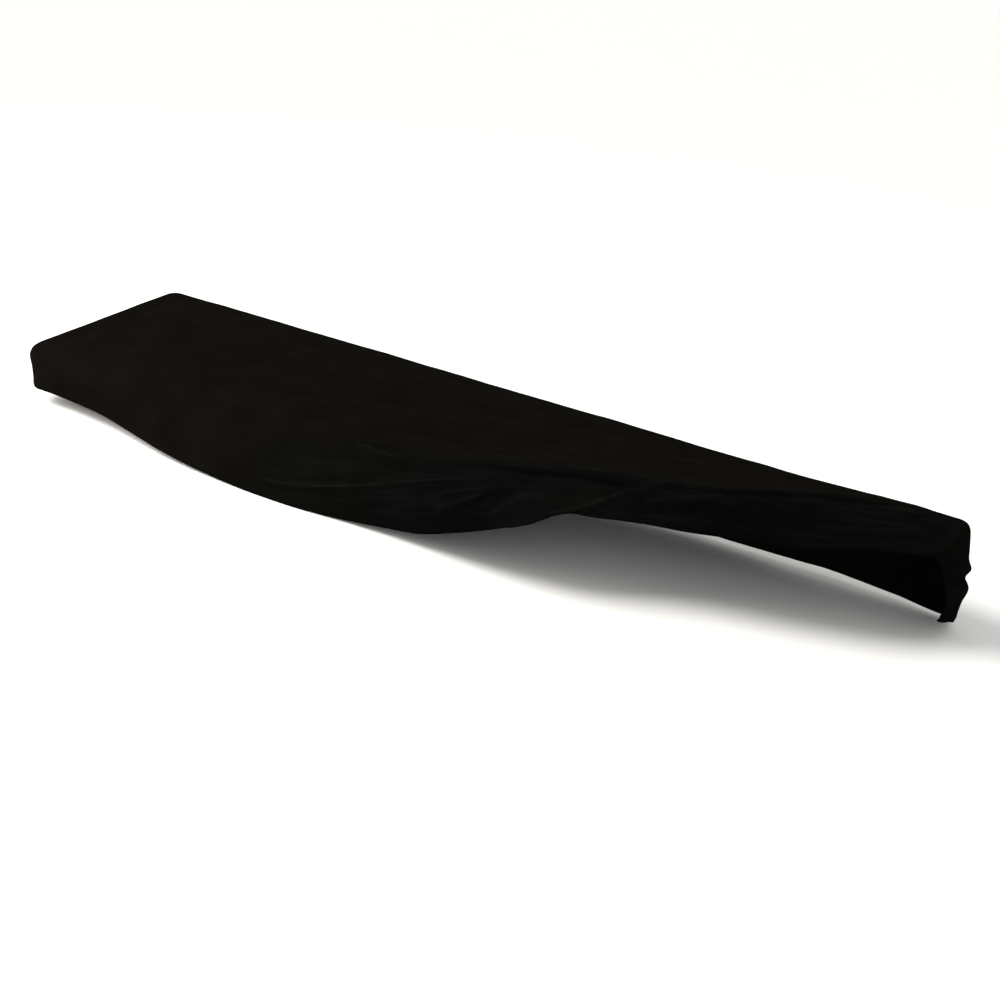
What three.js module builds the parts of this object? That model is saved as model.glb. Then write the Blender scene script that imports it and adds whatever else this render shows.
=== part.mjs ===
// A fitted dust cover of black stretch velour: one hollow draped sheet, open underneath,
// with its front right part drawn up and back over the top in soft folds.
// Millimetres, +Z up. The sections are laid out from the lowest point of the hem, with X from
// the middle of the length and Y from the middle of the depth, and the finished sheet is then
// moved so that the origin lies under its top, where it rests on what it fits.

import * as THREE from 'three';

// Driving sizes: the space that the cover fits, and the cloth.
const FIT = { length: 1278, depth: 287, frontHeight: 78, rearHeight: 118 };
const CLOTH = 2;
const EASE = 2;            // the cloth stands this far outside the fitted ends and back
const ROLL = 9;            // radius where the top turns down into a wall
const REST = { x: 0, y: 60 };

const LEFT = -FIT.length / 2 - EASE;
const RIGHT = FIT.length / 2 + EASE;
const BACK = FIT.depth / 2 + EASE;
const SLOPE = (FIT.rearHeight - FIT.frontHeight) / FIT.depth;

// Corner radii in plan.
const CORNER = { frontLeft: 30, backLeft: 16, backRight: 14 };

// The hem round the back right corner: how far it stands out, and its height from right to back.
const CORNER_HEM = { out: 4, zFrom: 6, zTo: 3 };

// Shape of a rib: how full the skirt hangs, where the two middle controls of a wall lie on its way
// down, how much of the bow the upper one takes, and the most of the drop that the roll may take.
const RIB = { skirtFull: 0.05, upper: 0.42, lower: 0.82, upperBow: 0.7, rollMost: 0.45 };

// Mesh steps: stations along the length, ribs round each end, and rows in each stretch of a rib
// (spine, inner, brow, sill, ledge, skirt, hem).
const STATIONS = 66;
const CLOSER = 0.3;        // how much closer the stations lie towards the right
const RIGHT_RIBS = 14;
const LEFT_RIBS = 8;
const CORNER_RIBS = 6;
const ROWS = [2, 3, 3, 3, 2, 2];

// Sections of the front, one row each, on the outside of the cloth. The brow is where the top
// turns over, sill and ledge are the two bends below it, and the hem is the edge.
const SECTIONS = [
  //         x   brow y    z  sill y    z  ledge y    z   hem y    z
  [       -611,   -134,   81,  -144,   72,   -143,   46,   -140,   21],
  [       -575,   -112,   90,  -138,   76,   -145,   54,   -139,   21],
  [       -530,    -88,   98,  -127,   84,   -146,   62,   -139,   20],
  [       -470,    -68,  103,  -118,   90,   -147,   67,   -143,   19],
  [       -400,    -62,  104,  -115,   91,   -148,   68,   -151,   14],
  [       -330,    -62,  104,  -116,   91,   -150,   66,   -160,    9],
  [       -250,    -62,  104,  -116,   91,   -152,   64,   -163,    4],
  [       -170,    -63,  104,  -117,   91,   -153,   62,   -162,    1],
  [        -90,    -66,  104,  -119,   91,   -152,   60,   -156,    1],
  [        -30,    -70,  105,  -121,   90,   -150,   60,   -147,    3],
  [         30,    -76,  105,  -124,   89,   -149,   60,   -143,   10],
  [         90,    -82,  106,  -127,   87,   -148,   62,   -142,   20],
  [        150,    -84,  109,  -126,   88,   -147,   68,   -146,   42],
  [        205,    -70,  113,  -114,   97,   -138,   80,   -146,   65],
  [        240,    -42,  115,   -89,  106,   -122,   93,   -138,   80],
  [        262,    -24,  116,   -70,  108,   -103,   99,   -119,   91],
  [        300,     -6,  117,   -48,  110,    -79,  101,    -93,   92],
  [        342,     12,  117,   -25,  111,    -57,  102,    -75,   94],
  [        386,     28,  117,    -7,  112,    -42,  104,    -65,   96],
  [        427,     42,  116,    10,  112,    -26,  105,    -52,   98],
  [        467,     58,  116,    29,  112,     -8,  106,    -36,   99],
  [        507,     78,  115,    52,  112,     14,  107,    -20,  100],
  [        541,     87,  116,    67,  114,     36,  109,      4,  102],
  [        575,     90,  117,    75,  115,     53,  110,     27,  104],
  [        604,     92,  118,    79,  116,     61,  111,     39,  105],
];

// The right end, one row for each rib: where it crosses the top edge, and its end on the hem,
// which runs down the end wall to a flared tip and then back along the bottom. Bow bends the rib
// backwards on its way down, and even spaces its rows evenly from the spine, as 1, or by its bends.
const RIGHT_END = [
  //  edge x    y   hem x    y    z  bow  even
  [      630,  60,    630,  50, 107,   0,  1.0],
  [      637,  70,    637,  59,  93,   0,  0.9],
  [      641,  80,    641,  70,  74,   0,  0.6],
  [      641,  90,    642,  79,  62,   0,  0.3],
  [      641,  98,    643,  85,  50,   0,  0.1],
  [      641, 104,    644,  85,  40,   8,  0.0],
  [      641, 110,    645,  79,  34,  18,  0.0],
  [      641, 116,    646,  68,  30,  33,  0.0],
  [      641, 121,    646,  82,  22,  22,  0.0],
  [      641, 126,    647, 100,  16,  12,  0.0],
  [      641, 131,    648, 124,   9,   3,  0.0],
];

// Heights of the hem on the plain sides, and how far it stands out from the wall's top edge.
const BACK_HEM = [
  //   x    z  out
  [ -625,   9,   3],
  [ -430,   6,   1],
  [ -240,  10,   5],
  [  -60,   7,   2],
  [  150,  11,   5],
  [  340,   6,   2],
  [  500,   8,   6],
  [  627,   3,   4],
];
const LEFT_HEM = [
  //   y    z  out
  [ -146,  21,  -5],
  [ -110,  21,   0],
  [    0,  14,   3],
  [   90,  16,   1],
  [  146,   9,   3],
];

// The top slopes, with a level shelf along its front and a low bunch of cloth at the right rear.
const SHELF = { height: 103, soft: 5, leftFrom: -630, leftFull: -550 };
const BUNCH = { rise: 5, xFrom: 430, xFull: 570, yFrom: 20, yFull: 120 };

// Soft folds: a ridge (rise above 0) or trough along a curve through three points of the sheet,
// with its half width.
const FOLDS = [
  // Slanting pulls across the top
  { from: [-507, 27, 105], via: [-456, 90, 113], to: [-398, 121, 117], width: 14, rise: -2.5 },
  { from: [-380, 10, 102], via: [-325, 48, 107], to: [-274, 75, 111], width: 14, rise: 2.5 },
  { from: [-366, -6, 101], via: [-289, 34, 105], to: [-183, 90, 113], width: 13, rise: -2.5 },
  { from: [-180, -66, 104], via: [-60, -70, 105], to: [81, -72, 107], width: 12, rise: -3 },
  { from: [10, -12, 101], via: [66, 26, 105], to: [150, 70, 110], width: 15, rise: -2 },
  { from: [90, -36, 102], via: [150, -18, 103], to: [240, 24, 107], width: 13, rise: -2.5 },
  // The front skirt and its fan of ridges
  { from: [-200, -118, 91], via: [-66, -112, 95], to: [60, -116, 95], width: 13, rise: 3 },
  { from: [-210, -158, 30], via: [-27, -151, 48], to: [143, -115, 96], width: 14, rise: 5 },
  { from: [-40, -151, 66], via: [60, -140, 75], to: [120, -128, 88], width: 12, rise: -4 },
  { from: [20, -148, 40], via: [108, -141, 74], to: [160, -116, 94], width: 13, rise: 5.5 },
  { from: [96, -146, 40], via: [152, -138, 80], to: [192, -106, 99], width: 12, rise: 5 },
  { from: [185, -142, 72], via: [208, -112, 98], to: [246, -82, 107], width: 12, rise: 4.5 },
  // The deep trough below the crest, and the ridge where the skirt turns up
  { from: [70, -104, 99], via: [205, -76, 111], to: [312, -24, 115], width: 15, rise: -8 },
  { from: [250, -120, 92], via: [291, -78, 103], to: [322, -14, 116], width: 12, rise: 6 },
  { from: [318, -8, 116], via: [346, 0, 116], to: [374, -6, 113], width: 12, rise: 4 },
  // Lengthwise rolls of the cloth that is drawn back
  { from: [322, -58, 104], via: [391, -9, 111], to: [452, 20, 112], width: 13, rise: -6 },
  { from: [330, -66, 100], via: [440, -14, 106], to: [556, 28, 107], width: 12, rise: 5 },
  { from: [420, 40, 115], via: [490, 48, 113], to: [560, 96, 116], width: 13, rise: 3.5 },
  { from: [480, 0, 106], via: [535, 36, 110], to: [596, 76, 114], width: 10, rise: -4 },
  { from: [490, 122, 117], via: [545, 127, 118], to: [596, 128, 119], width: 11, rise: -3.5 },
  // Gathers round the back right corner
  { from: [641, 88, 84], via: [646, 137, 64], to: [600, 149, 56], width: 10, rise: 6 },
  { from: [642, 98, 62], via: [646, 137, 51], to: [610, 149, 44], width: 8, rise: -3 },
  { from: [644, 86, 46], via: [648, 137, 36], to: [596, 150, 26], width: 11, rise: 7 },
  // Upright folds of the back and left walls
  { from: [-520, 146, 104], via: [-512, 148, 56], to: [-500, 148, 7], width: 26, rise: 4 },
  { from: [-352, 146, 104], via: [-360, 147, 56], to: [-372, 147, 7], width: 22, rise: -3.5 },
  { from: [-196, 146, 104], via: [-210, 149, 56], to: [-214, 150, 9], width: 30, rise: 4.5 },
  { from: [-20, 146, 104], via: [-8, 147, 56], to: [4, 148, 8], width: 24, rise: -4 },
  { from: [176, 146, 104], via: [170, 149, 56], to: [150, 150, 11], width: 28, rise: 5 },
  { from: [322, 146, 104], via: [338, 147, 56], to: [346, 147, 6], width: 22, rise: -4 },
  { from: [470, 146, 106], via: [486, 149, 58], to: [506, 151, 8], width: 24, rise: 6 },
  { from: [-641, 70, 96], via: [-643, 62, 56], to: [-643, 52, 15], width: 22, rise: 4 },
  { from: [-641, -34, 82], via: [-643, -44, 50], to: [-643, -56, 18], width: 18, rise: -3 },
];
const FOLD_STEPS = 24;
const FOLD_FADE = 0.22;    // share of a fold's length over which each end dies away
const FOLD_END = 0.15;     // share of its rise that is left at its ends

// Ends of the line along the top from which the ribs run out to the hem.
const SPINE = { left: -560, right: 604, rearAtRight: 108, bendFrom: -120, bendTo: 640 };

const ramp = THREE.MathUtils.smoothstep;

const topPlane = (y) => FIT.frontHeight + CLOTH + (y + FIT.depth / 2) * SLOPE;

function topAt(x, y) {
  const plane = topPlane(y);
  const short = SHELF.height - plane;
  const shelf = 0.5 * (short + Math.hypot(short, SHELF.soft)) * ramp(x, SHELF.leftFrom, SHELF.leftFull);
  const bunch = BUNCH.rise * ramp(x, BUNCH.xFrom, BUNCH.xFull) * ramp(y, BUNCH.yFrom, BUNCH.yFull);
  return plane + shelf * (1 - ramp(x, BUNCH.xFrom, BUNCH.xFull)) + bunch;
}

const onTop = (x, y) => new THREE.Vector3(x, y, topAt(x, y));

function spinePoint(x) {
  return onTop(x, SPINE.rearAtRight * ramp(x, SPINE.bendFrom, SPINE.bendTo));
}

// A table whose first column is the position becomes a smooth function of that position.
function lookup(rows, positions = rows.map((row) => row[0]), skip = 1) {
  const values = rows.flatMap((row) => row.slice(skip));
  const width = rows[0].length - skip;
  const curve = new THREE.CubicInterpolant(positions, values, width, new Float64Array(width));
  return (at) => Array.from(curve.evaluate(at));
}

const sectionAt = lookup(SECTIONS);
const rightEndAt = lookup(RIGHT_END, RIGHT_END.map((row, index) => index), 0);
const backHemAt = lookup(BACK_HEM);
const leftHemAt = lookup(LEFT_HEM);

// Controls of a rib: spine, inner, brow, sill, ledge, skirt and hem.
function frontRib(foot, x) {
  const [browY, browZ, sillY, sillZ, ledgeY, ledgeZ, hemY, hemZ] = sectionAt(x);
  const brow = new THREE.Vector3(x, browY, browZ);
  const inner = onTop((foot.x + x) / 2, (foot.y + browY) / 2);
  const sill = new THREE.Vector3(x, sillY, sillZ);
  const ledge = new THREE.Vector3(x, ledgeY, ledgeZ);
  const hem = new THREE.Vector3(x, hemY, hemZ);
  const skirt = ledge.clone().lerp(hem, 0.5);
  skirt.y -= RIB.skirtFull * ledge.distanceTo(hem);
  return [foot, inner, brow, sill, ledge, skirt, hem];
}

function wallRib(foot, edge, outward, hem, bow = 0) {
  edge.z = topAt(edge.x, edge.y);
  const start = onTop(edge.x - ROLL * outward.x, edge.y - ROLL * outward.y);
  const inner = onTop((foot.x + start.x) / 2, (foot.y + start.y) / 2);
  const turn = Math.min(ROLL / Math.max(edge.z - hem.z, 1), RIB.rollMost);
  const wall = edge.clone().lerp(hem, turn);
  const upper = wall.clone().lerp(hem, RIB.upper);
  const lower = wall.clone().lerp(hem, RIB.lower);
  upper.y += RIB.upperBow * bow;
  lower.y += bow;
  return [foot, inner, start, wall, upper, lower, hem];
}

function backRib(foot, x) {
  const [hemZ, out] = backHemAt(x);
  const hem = new THREE.Vector3(x, BACK + out, hemZ);
  return wallRib(foot, new THREE.Vector3(x, BACK, 0), new THREE.Vector3(0, 1, 0), hem);
}

// Points round a corner of the plan, each with its outward direction.
function cornerPoints(x, y, radius, fromDegrees, count) {
  return Array.from({ length: count }, (_, index) => {
    const angle = THREE.MathUtils.degToRad(fromDegrees + (90 * index) / (count - 1));
    const outward = new THREE.Vector3(Math.cos(angle), Math.sin(angle), 0);
    const edge = new THREE.Vector3(x, y, 0).addScaledVector(outward, radius);
    return { edge, outward };
  });
}

function rightRibs(foot) {
  const ribs = [];
  const outward = new THREE.Vector3(1, 0, 0);
  for (let index = 0; index < RIGHT_RIBS; index += 1) {
    const row = (index * (RIGHT_END.length - 1)) / (RIGHT_RIBS - 1);
    const [edgeX, edgeY, hemX, hemY, hemZ, bow, even] = rightEndAt(row);
    const hem = new THREE.Vector3(hemX, hemY, hemZ);
    const controls = wallRib(foot, new THREE.Vector3(edgeX, edgeY, 0), outward, hem, bow);
    ribs.push({ controls, even });
  }
  const radius = CORNER.backRight;
  const corner = cornerPoints(RIGHT - radius, BACK - radius, radius, 0, CORNER_RIBS).slice(0, -1);
  corner.forEach((point, index) => {
    const hem = point.edge.clone().addScaledVector(point.outward, CORNER_HEM.out);
    hem.z = THREE.MathUtils.lerp(CORNER_HEM.zFrom, CORNER_HEM.zTo, index / CORNER_RIBS);
    ribs.push({ controls: wallRib(foot, point.edge, point.outward, hem), even: 0 });
  });
  return ribs;
}

function leftRibs(foot) {
  const back = CORNER.backLeft;
  const front = CORNER.frontLeft;
  const points = cornerPoints(LEFT + back, BACK - back, back, 90, CORNER_RIBS).slice(1);
  for (let index = 1; index < LEFT_RIBS - 1; index += 1) {
    const y = THREE.MathUtils.lerp(BACK - back, front - BACK, index / (LEFT_RIBS - 1));
    points.push({ edge: new THREE.Vector3(LEFT, y, 0), outward: new THREE.Vector3(-1, 0, 0) });
  }
  points.push(...cornerPoints(LEFT + front, front - BACK, front, 180, CORNER_RIBS).slice(0, -1));
  return points.map(({ edge, outward }) => {
    const [hemZ, out] = leftHemAt(edge.y);
    const hem = edge.clone().addScaledVector(outward, out);
    hem.z = hemZ;
    return { controls: wallRib(foot, edge, outward, hem), even: 0 };
  });
}

// All ribs in order round the cover, each with the number of the spine point that it starts from.
function allRibs() {
  const feet = [];
  for (let index = 0; index < STATIONS; index += 1) {
    const share = index / (STATIONS - 1);
    const eased = share + CLOSER * share * (1 - share);
    feet.push(spinePoint(THREE.MathUtils.lerp(SPINE.left, SPINE.right, eased)));
  }
  const spread = (x, left, right) => (x < 0 ? (x * left) / SPINE.left : (x * right) / SPINE.right);
  const frontEnd = SECTIONS.at(-1)[0];
  const frontStart = SECTIONS[0][0];
  const backEnd = RIGHT - CORNER.backRight;
  const backStart = LEFT + CORNER.backLeft;
  const last = STATIONS - 1;
  const ribs = [];
  feet.forEach((foot, index) => {
    const x = spread(foot.x, frontStart, frontEnd);
    ribs.push({ foot: index, controls: frontRib(foot, x), even: 0 });
  });
  rightRibs(feet[last]).forEach((rib) => ribs.push({ foot: last, ...rib }));
  for (let index = last; index >= 0; index -= 1) {
    const x = spread(feet[index].x, backStart, backEnd);
    ribs.push({ foot: index, controls: backRib(feet[index], x), even: 0 });
  }
  leftRibs(feet[0]).forEach((rib) => ribs.push({ foot: 0, ...rib }));
  return { feet, ribs };
}

// Places along a rib, from just past the spine to the hem, as shares of its length in controls.
function rowShares() {
  const shares = [];
  ROWS.forEach((count, stretch) => {
    for (let step = 1; step <= count; step += 1) {
      shares.push((stretch + step / count) / ROWS.length);
    }
  });
  return shares;
}

// A rib's points. The curve starts one control before the spine, on the far side of it, so that
// the ribs of both sides meet there without a crease.
function ribPoints({ controls, even }, shares) {
  const [foot, inner] = controls;
  const before = onTop(2 * foot.x - inner.x, 2 * foot.y - inner.y);
  const curve = new THREE.CatmullRomCurve3([before, ...controls], false, 'centripetal');
  const start = 1 / controls.length;
  const startLength = before.distanceTo(foot) / curve.getLength();
  return shares.map((share, row) => {
    const byBends = THREE.MathUtils.lerp(start, 1, share);
    const length = THREE.MathUtils.lerp(startLength, 1, (row + 1) / shares.length);
    const byLength = curve.getUtoTmapping(length);
    return curve.getPoint(THREE.MathUtils.lerp(byBends, byLength, even));
  });
}

// The outer skin: the spine's points first, then each rib's points from the spine to the hem.
function outerSkin() {
  const { feet, ribs } = allRibs();
  const shares = rowShares();
  const points = [...feet];
  ribs.forEach((rib) => points.push(...ribPoints(rib, shares)));
  const at = (rib, row) => {
    const turn = rib % ribs.length;
    return row === 0 ? ribs[turn].foot : feet.length + turn * shares.length + row - 1;
  };
  const triangles = [];
  for (let rib = 0; rib < ribs.length; rib += 1) {
    for (let row = 0; row < shares.length; row += 1) {
      const [a, b] = [at(rib, row), at(rib, row + 1)];
      const [d, c] = [at(rib + 1, row), at(rib + 1, row + 1)];
      triangles.push(a, b, c);
      if (a !== d) {
        triangles.push(a, c, d);
      }
    }
  }
  const hem = ribs.map((_, rib) => at(rib, shares.length));
  return { points, triangles, hem };
}

function pointNormals(points, triangles) {
  const geometry = new THREE.BufferGeometry().setFromPoints(points);
  geometry.setIndex(triangles);
  geometry.computeVertexNormals();
  const normals = geometry.getAttribute('normal');
  return points.map((_, index) => new THREE.Vector3().fromBufferAttribute(normals, index));
}

const foldPaths = FOLDS.map(({ from, via, to, width, rise }) => {
  const curve = new THREE.CatmullRomCurve3([from, via, to].map((point) => new THREE.Vector3(...point)));
  return { path: curve.getPoints(FOLD_STEPS), width, rise };
});

// How far the folds push a point of the sheet outwards.
function foldHeight(point) {
  return foldPaths.reduce((height, { path, width, rise }) => {
    let near = Infinity;
    let nearest = 0;
    path.forEach((place, index) => {
      const distance = place.distanceToSquared(point);
      if (distance < near) {
        near = distance;
        nearest = index / FOLD_STEPS;
      }
    });
    const fade = ramp(Math.min(nearest, 1 - nearest), 0, FOLD_FADE);
    const strength = THREE.MathUtils.lerp(FOLD_END, 1, fade);
    return height + rise * strength * Math.exp(-near / (width * width));
  }, 0);
}

// The sheet as one closed solid: the outer skin, an inner skin one cloth thickness inside it,
// and a rim that joins them along the hem.
function coverGeometry() {
  const { points, triangles, hem } = outerSkin();
  const smooth = pointNormals(points, triangles);
  const outer = points.map((point, index) => {
    return point.clone().addScaledVector(smooth[index], foldHeight(point));
  });
  const folded = pointNormals(outer, triangles);
  const inner = outer.map((point, index) => point.clone().addScaledVector(folded[index], -CLOTH));
  const count = outer.length;
  const faces = [...triangles];
  for (let index = 0; index < triangles.length; index += 3) {
    faces.push(triangles[index] + count, triangles[index + 2] + count, triangles[index + 1] + count);
  }
  hem.forEach((edge, index) => {
    const next = hem[(index + 1) % hem.length];
    faces.push(edge, edge + count, next + count, edge, next + count, next);
  });
  const geometry = new THREE.BufferGeometry().setFromPoints([...outer, ...inner]);
  geometry.setIndex(faces);
  geometry.computeVertexNormals();
  return geometry;
}

const velour = new THREE.MeshStandardMaterial({ color: 0x14110f, roughness: 0.95, metalness: 0 });

const cover = new THREE.Mesh(coverGeometry(), velour);
cover.name = 'cover_cloth';
cover.position.set(-REST.x, -REST.y, CLOTH - topAt(REST.x, REST.y));

const part = new THREE.Group();
part.add(cover);

export default part;
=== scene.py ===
"""Fitted dust cover of black stretch velour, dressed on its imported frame.

The cover is one thin sheet. Its ribs run from a line along the top out to the hem all round, soft folds
are laid over them, and fine pulls follow the way the cloth is drawn back at its right end.
Tables are in millimetres from the lowest point of the hem, the middle of the length and of the depth.
"""

import math

import bpy
import numpy as np
from bpy.props import FloatProperty, FloatVectorProperty, PointerProperty
from mathutils import Matrix, Vector, noise


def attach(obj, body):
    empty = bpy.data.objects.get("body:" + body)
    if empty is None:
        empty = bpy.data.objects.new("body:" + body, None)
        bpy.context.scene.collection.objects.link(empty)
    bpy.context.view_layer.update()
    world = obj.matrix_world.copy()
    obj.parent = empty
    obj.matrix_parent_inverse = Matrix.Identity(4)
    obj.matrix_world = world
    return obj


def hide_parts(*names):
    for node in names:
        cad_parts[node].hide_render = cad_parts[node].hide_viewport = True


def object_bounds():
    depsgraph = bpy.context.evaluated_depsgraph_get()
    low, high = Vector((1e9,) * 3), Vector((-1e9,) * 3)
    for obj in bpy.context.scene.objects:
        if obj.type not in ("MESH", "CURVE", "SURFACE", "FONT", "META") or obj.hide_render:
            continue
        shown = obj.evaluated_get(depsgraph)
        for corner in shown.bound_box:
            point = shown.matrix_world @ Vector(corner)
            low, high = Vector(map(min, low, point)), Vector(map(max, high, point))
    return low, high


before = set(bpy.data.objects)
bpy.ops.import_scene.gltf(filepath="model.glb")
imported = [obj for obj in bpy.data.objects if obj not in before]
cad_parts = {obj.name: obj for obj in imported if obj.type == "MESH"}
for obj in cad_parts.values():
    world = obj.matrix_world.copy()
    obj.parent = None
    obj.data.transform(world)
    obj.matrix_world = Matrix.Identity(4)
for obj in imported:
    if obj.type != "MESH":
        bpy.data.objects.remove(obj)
CAD_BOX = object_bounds()

bl_info = {
    "name": "Velour Dust Cover",
    "version": (1, 0, 0),
    "blender": (4, 5, 0),
    "location": "View3D > Sidebar > Dust Cover",
    "description": "Builds a fitted velour dust cover, drawn back at one corner, and its stage",
    "category": "Object",
}

MM = 0.001


def linear(hex_colour):
    """Turn an sRGB hex value into linear red, green and blue."""
    channels = [int(hex_colour[i : i + 2], 16) / 255 for i in (0, 2, 4)]
    return tuple(c / 12.92 if c <= 0.04045 else ((c + 0.055) / 1.055) ** 2.4 for c in channels)


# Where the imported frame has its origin, in the tables' millimetres: under the top, behind the middle.
ORIGIN = np.array([0.0, 60.0, 107.347])

# Corner radii in plan.
CORNER = {"front_left": 30, "back_left": 24, "back_right": 15}

# The wall round the back right corner: how far its upper and lower part and its hem stand out, the
# height of the hem from right to back, where the end's wall begins to stand out, and the share of the
# corner after which it falls back.
CORNER_WALL = {"upper": 3.0, "lower": 3.5, "hem": 6.5, "from": 100, "full": 125, "back_from": 0.35}
CORNER_HEM = {"from": 7, "to": 3}

# The back edge is drawn in towards the right corner.
DRAWN_IN = {"by": 5, "from": 570, "to": 626}

# Shape of a rib: how full the skirt hangs, where the two middle controls of a wall lie on its way down,
# how much of the bow the upper one takes, how far the lower one sinks for it, and the most of the drop
# that the roll may take.
RIB = {"skirt_full": 0.05, "upper": 0.42, "lower": 0.82, "upper_bow": 0.58, "sink": 0.38, "roll_most": 0.45}

# The top turns down more sharply towards the right end, where the cloth is pulled tight.
ROLL_EASE = {"less": 0.5, "from": 540, "to": 630}

# Mesh steps: stations along the length, ribs round the ends and corners, rows from spine to hem, the
# finer steps by which lengths are measured, and how evenly a rib's rows are spaced.
STATION_GAPS = [
    #  x   gap
    (-560, 6.4),
    (-200, 5.0),
    (-40, 3.0),
    (330, 2.7),
    (604, 3.6),
]
RIGHT_RIBS = 60
LEFT_RIBS = 34
CORNER_RIBS = 20
ROW_STEPS = (9, 14, 15, 13, 11, 13)
TRACK_STEPS = 240
SPINE_STEPS = 400
EVEN = 0.45

# Sections of the front on the outside of the cloth. The brow is where the top turns over, sill and
# ledge are the two bends below it, and the hem is the edge.
SECTIONS = [
    #   x   brow y    z  sill y    z  ledge y    z  hem y    z
    (-611, -136.4, 81, -144.6, 71, -143, 48, -140.4, 21),
    (-575, -122, 85, -138, 75, -145, 52, -139, 21),
    (-530, -117, 90, -134, 79, -146, 60, -139, 20),
    (-470, -114, 93, -133, 81, -147, 64, -143, 19),
    (-400, -112, 95, -133, 82, -148, 65, -151, 14),
    (-330, -111, 96, -133, 83, -150, 65, -160, 9),
    (-250, -112, 97, -134, 83, -152, 63, -163, 4),
    (-170, -113, 98, -135, 83, -153, 62, -162, 1),
    (-90, -113, 98, -135, 83, -152, 60, -156, 1),
    (-30, -112, 99, -134, 84, -150, 60, -147, 3),
    (30, -110, 100, -134, 84, -149, 60, -143, 10),
    (90, -97, 103, -129, 86, -148, 62, -142, 20),
    (150, -70, 109, -119, 91, -147, 68, -146, 42),
    (205, -40, 113, -100, 101, -138, 80, -146, 65),
    (240, -24, 115, -82, 107, -122, 93, -138, 80),
    (262, -16, 116, -66, 109, -103, 99, -119, 91),
    (300, -6, 117, -46, 110, -79, 101, -93, 92),
    (342, 6, 118, -24, 112, -57, 103, -75, 94),
    (386, 30, 119, 4, 113, -40, 105, -65, 96),
    (427, 66, 119, 42, 114, -10, 106, -52, 98),
    (467, 96, 119, 74, 115, 14, 107, -36, 99),
    (507, 114, 120, 95, 115, 36, 108, -20, 100),
    (541, 122, 120, 105, 114, 54, 109, 4, 103),
    (575, 124, 121, 109, 117, 68, 111, 28, 105),
    (604, 124, 121, 111, 119, 76, 113, 41, 106),
]

# The right end, a row for each rib: where it crosses the top edge, its end on the hem, how far it bows
# backwards on its way down, and how evenly its rows are spaced.
RIGHT_END = [
    # n  edge x   y  hem x   y    z  bow  even
    (0, 630, 61, 630, 52, 108, 0, 1.0),
    (1, 637, 70, 637, 59, 93, 0, 0.9),
    (2, 641, 80, 641, 70, 74, 0, 0.7),
    (3, 641, 90, 642, 79, 62, 0, 0.6),
    (4, 641, 96, 643, 86, 52, 0, 0.5),
    (5, 641, 101, 643, 86, 43, 6, 0.5),
    (6, 641, 106, 644, 77, 36, 20, 0.5),
    (7, 641, 111, 645, 61, 32, 35, 0.5),
    (8, 641, 116, 646, 80, 23, 24, 0.5),
    (9, 641, 121, 647, 101, 16, 12, 0.5),
    (10, 641, 123, 648, 121.5, 8, 1, 0.5),
]

# Heights of the hem on the plain sides, and how far it stands out from the wall's top edge.
BACK_HEM = [
    #  x    z  out
    (-625, 9, 3),
    (-430, 6, 1),
    (-240, 10, 5),
    (-60, 7, 2),
    (150, 11, 5),
    (340, 6, 2),
    (500, 8, 6),
    (627, 3, 4),
]
LEFT_HEM = [
    #  y    z  out
    (-146, 21, -5),
    (-110, 21, 0),
    (0, 14, 3),
    (90, 16, 1),
    (146, 9, 3),
]

# The top slopes, with a level shelf along its front and a low bunch of cloth at the right rear.
SHELF = {"height": 100, "soft": 8, "left_from": -600, "left_full": -440}
BUNCH = {"rise": 5, "x_from": 430, "x_full": 570, "y_from": 20, "y_full": 120}

# Ends of the line along the top from which the ribs run out to the hem.
SPINE = {"left": -560, "right": 604, "rear_at_right": 133, "bend_from": -120, "bend_to": 540}

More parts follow.
